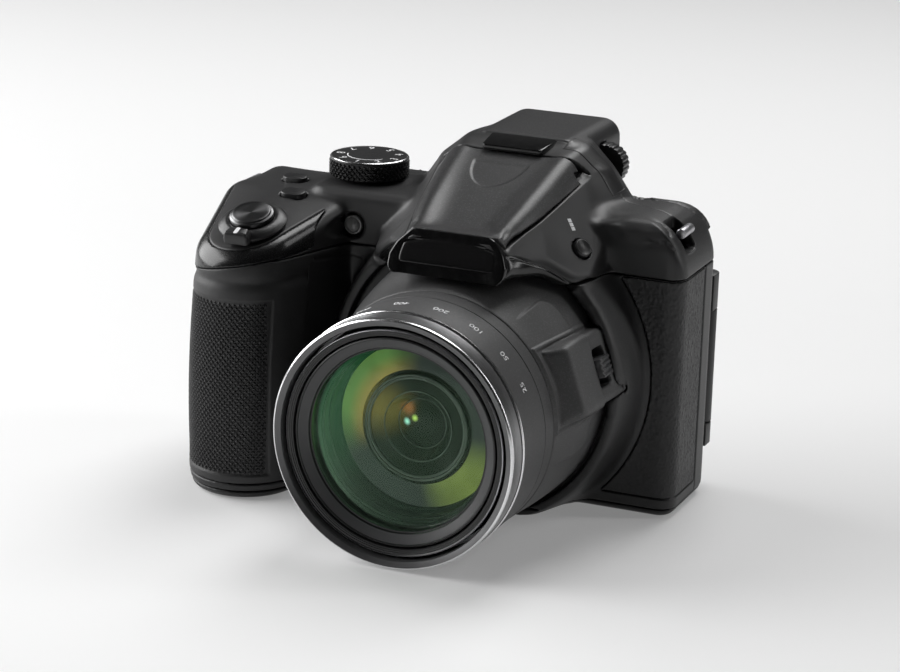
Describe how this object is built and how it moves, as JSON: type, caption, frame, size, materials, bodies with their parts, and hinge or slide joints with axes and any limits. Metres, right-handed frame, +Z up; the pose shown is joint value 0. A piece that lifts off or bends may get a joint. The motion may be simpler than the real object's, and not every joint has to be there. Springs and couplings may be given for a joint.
{
  "type": "bridge camera",
  "caption": "Bridge camera with an extending zoom lens, deep rubber grip, pop-up flash, electronic viewfinder and side-hinged monitor.",
  "frame": {"origin": "mouth of the tripod socket, on the base plane below the lens axis", "axes": "+Z up, the lens points along -Y, +X is to the right in a front view"},
  "size_m": [0.121, 0.1082, 0.0851],
  "materials": {
    "body_black": "fine matte texture",
    "cover_grey": "fine metallic sparkle",
    "rubber": "soft, textured",
    "leatherette": "fine grain",
    "gloss_black": "polished",
    "button_black": "satin",
    "spun_metal": "spun",
    "steel": "plain",
    "cam_metal": "turned",
    "brass": "plain",
    "glass": "coated",
    "lamp_clear": "clear plastic",
    "circuit": "board",
    "cell_wrap": "wrapped cell"
  },
  "bodies": {
    "camera_body": {"front_shell": "body_black", "top_cover": "body_black", "rear_shell": "body_black", "base_plate": "body_black", "grip_rubber": "rubber", "side_pad": "leatherette", "shutter_trim": "gloss_black", "nameplate": "gloss_black", "antenna_cover": "gloss_black", "barrel_cover": "body_black", "lens_ring": "body_black", "eyecup": "rubber", "eyepiece_lens": "glass", "evf_display": "gloss_black", "strap_lugs": "steel", "focus_lamp": "lamp_clear", "hinge_bracket": "body_black", "tripod_socket": "steel", "lens_base_plate": "cover_grey", "aperture_unit": "gloss_black", "relay_lens": "glass", "zoom_motor": "steel", "image_sensor": "circuit", "main_board": "circuit", "chassis": "steel", "battery": "cell_wrap", "memory_card": "cell_wrap", "connector_sockets": "steel", "case_screws": "steel"},
    "zoom_stage": {"zoom_barrel": "body_black"},
    "front_stage": {"front_barrel": "body_black", "front_lens": "glass", "second_lens": "glass"},
    "cam": {"cam_ring": "cam_metal"},
    "pinion": {"drive_pinion": "brass"},
    "focus_group": {"focus_lens": "glass"},
    "shutter_button": {"shutter_button": "spun_metal"},
    "power_button": {"power_button": "button_black"},
    "function_button": {"function_button": "button_black"},
    "flash_button": {"flash_button": "button_black"},
    "movie_button": {"movie_button": "button_black"},
    "display_button": {"display_button": "button_black"},
    "play_button": {"play_button": "button_black"},
    "menu_button": {"menu_button": "button_black"},
    "delete_button": {"delete_button": "button_black"},
    "ok_button": {"ok_button": "button_black"},
    "zoom_lever": {"zoom_lever": "body_black"},
    "mode_dial": {"mode_dial": "body_black"},
    "command_dial": {"command_dial": "body_black"},
    "multi_selector": {"multi_selector": "button_black"},
    "dioptre_dial": {"dioptre_dial": "button_black"},
    "side_zoom_switch": {"side_zoom_switch": "button_black"},
    "flash": {"flash_housing": "cover_grey", "flash_window": "lamp_clear", "flash_tube": "lamp_clear"},
    "monitor": {"monitor_frame": "body_black", "monitor_screen": "gloss_black", "hinge_arm": "body_black"},
    "battery_door": {"battery_door": "body_black"},
    "connector_door": {"connector_door": "body_black"}
  },
  "joints": [
    {"name": "zoom_slide", "type": "slide", "parent": "camera_body", "child": "zoom_stage", "axis": [0, -1, 0], "range_m": [0, 0.025]},
    {"name": "front_slide", "type": "slide", "parent": "zoom_stage", "child": "front_stage", "axis": [0, -1, 0], "range_m": [0, 0.025]},
    {"name": "cam_turn", "type": "hinge", "parent": "camera_body", "child": "cam", "pos_m": [0, 0, 0.0296], "axis": [0, -1, 0], "range_deg": [-1, 111]},
    {"name": "pinion_turn", "type": "hinge", "parent": "camera_body", "child": "pinion", "pos_m": [0.02213, -0.014, 0.05173], "axis": [0, -1, 0], "range_deg": [-910, 5]},
    {"name": "focus_slide", "type": "slide", "parent": "camera_body", "child": "focus_group", "axis": [0, -1, 0], "range_m": [-0.0025, 0.001]},
    {"name": "shutter_press", "type": "slide", "parent": "camera_body", "child": "shutter_button", "axis": [0, 0.3256, -0.9455], "range_m": [0, 0.0005], "stiffness_N_per_m": 300, "springref_m": -0.0006},
    {"name": "power_press", "type": "slide", "parent": "camera_body", "child": "power_button", "axis": [0, 0.1509, -0.9886], "range_m": [0, 0.0007], "stiffness_N_per_m": 300, "springref_m": -0.0006},
    {"name": "function_press", "type": "slide", "parent": "camera_body", "child": "function_button", "axis": [0, 0.2209, -0.9753], "range_m": [0, 0.0007], "stiffness_N_per_m": 300, "springref_m": -0.0006},
    {"name": "flash_button_press", "type": "slide", "parent": "camera_body", "child": "flash_button", "axis": [-0.7202, 0.3301, -0.6102], "range_m": [0, 0.0007], "stiffness_N_per_m": 300, "springref_m": -0.0006},
    {"name": "movie_press", "type": "slide", "parent": "camera_body", "child": "movie_button", "axis": [0, -1, 0], "range_m": [0, 0.0007], "stiffness_N_per_m": 300, "springref_m": -0.0006},
    {"name": "display_press", "type": "slide", "parent": "camera_body", "child": "display_button", "axis": [0, -1, 0], "range_m": [0, 0.0007], "stiffness_N_per_m": 300, "springref_m": -0.0006},
    {"name": "play_press", "type": "slide", "parent": "camera_body", "child": "play_button", "axis": [0, -1, 0], "range_m": [0, 0.0007], "stiffness_N_per_m": 300, "springref_m": -0.0006},
    {"name": "menu_press", "type": "slide", "parent": "camera_body", "child": "menu_button", "axis": [0, -1, 0], "range_m": [0, 0.0007], "stiffness_N_per_m": 300, "springref_m": -0.0006},
    {"name": "delete_press", "type": "slide", "parent": "camera_body", "child": "delete_button", "axis": [0, -1, 0], "range_m": [0, 0.0007], "stiffness_N_per_m": 300, "springref_m": -0.0006},
    {"name": "ok_press", "type": "slide", "parent": "camera_body", "child": "ok_button", "axis": [0, -1, 0], "range_m": [0, 0.0007], "stiffness_N_per_m": 300, "springref_m": -0.0006},
    {"name": "lever_turn", "type": "hinge", "parent": "camera_body", "child": "zoom_lever", "pos_m": [-0.0535, -0.0335, 0.06448], "axis": [0, -0.3256, 0.9455], "range_deg": [-20, 20], "stiffness_Nm_per_rad": 0.02},
    {"name": "mode_turn", "type": "hinge", "parent": "camera_body", "child": "mode_dial", "pos_m": [-0.0378, -0.002, 0.0721], "axis": [0, 0, 1], "continuous": true},
    {"name": "command_turn", "type": "hinge", "parent": "camera_body", "child": "command_dial", "pos_m": [-0.057, 0.0072, 0.063], "axis": [0, 0, 1], "continuous": true},
    {"name": "selector_turn", "type": "hinge", "parent": "camera_body", "child": "multi_selector", "pos_m": [-0.051, 0.014, 0.031], "axis": [0, 1, 0], "continuous": true},
    {"name": "dioptre_turn", "type": "hinge", "parent": "camera_body", "child": "dioptre_dial", "pos_m": [0.0153, 0.02, 0.0764], "axis": [0, 1, 0], "range_deg": [-150, 150]},
    {"name": "side_zoom_slide", "type": "slide", "parent": "camera_body", "child": "side_zoom_switch", "axis": [-0.3256, 0, 0.9455], "range_m": [-0.002, 0.002], "stiffness_N_per_m": 150},
    {"name": "flash_lift", "type": "hinge", "parent": "camera_body", "child": "flash", "pos_m": [0, -0.0056, 0.0782], "axis": [-1, 0, 0], "range_deg": [0, 48]},
    {"name": "monitor_swing", "type": "hinge", "parent": "camera_body", "child": "monitor", "pos_m": [0.0432, 0.0175, 0.03], "axis": [0, 0, -1], "range_deg": [0, 175]},
    {"name": "battery_door_swing", "type": "hinge", "parent": "camera_body", "child": "battery_door", "pos_m": [-0.0472, -0.02, 0.0012], "axis": [0, -1, 0], "range_deg": [0, 95]},
    {"name": "connector_door_swing", "type": "hinge", "parent": "camera_body", "child": "connector_door", "pos_m": [-0.0723, 0.0041, 0.03], "axis": [0, 0, -1], "range_deg": [0, 100]}
  ],
  "couplings": [
    {"joint": "front_slide", "follows": "zoom_slide", "ratio": 1},
    {"joint": "cam_turn", "follows": "zoom_slide", "rad_per_m": 76.794},
    {"joint": "pinion_turn", "follows": "zoom_slide", "rad_per_m": -631.42}
  ]
}
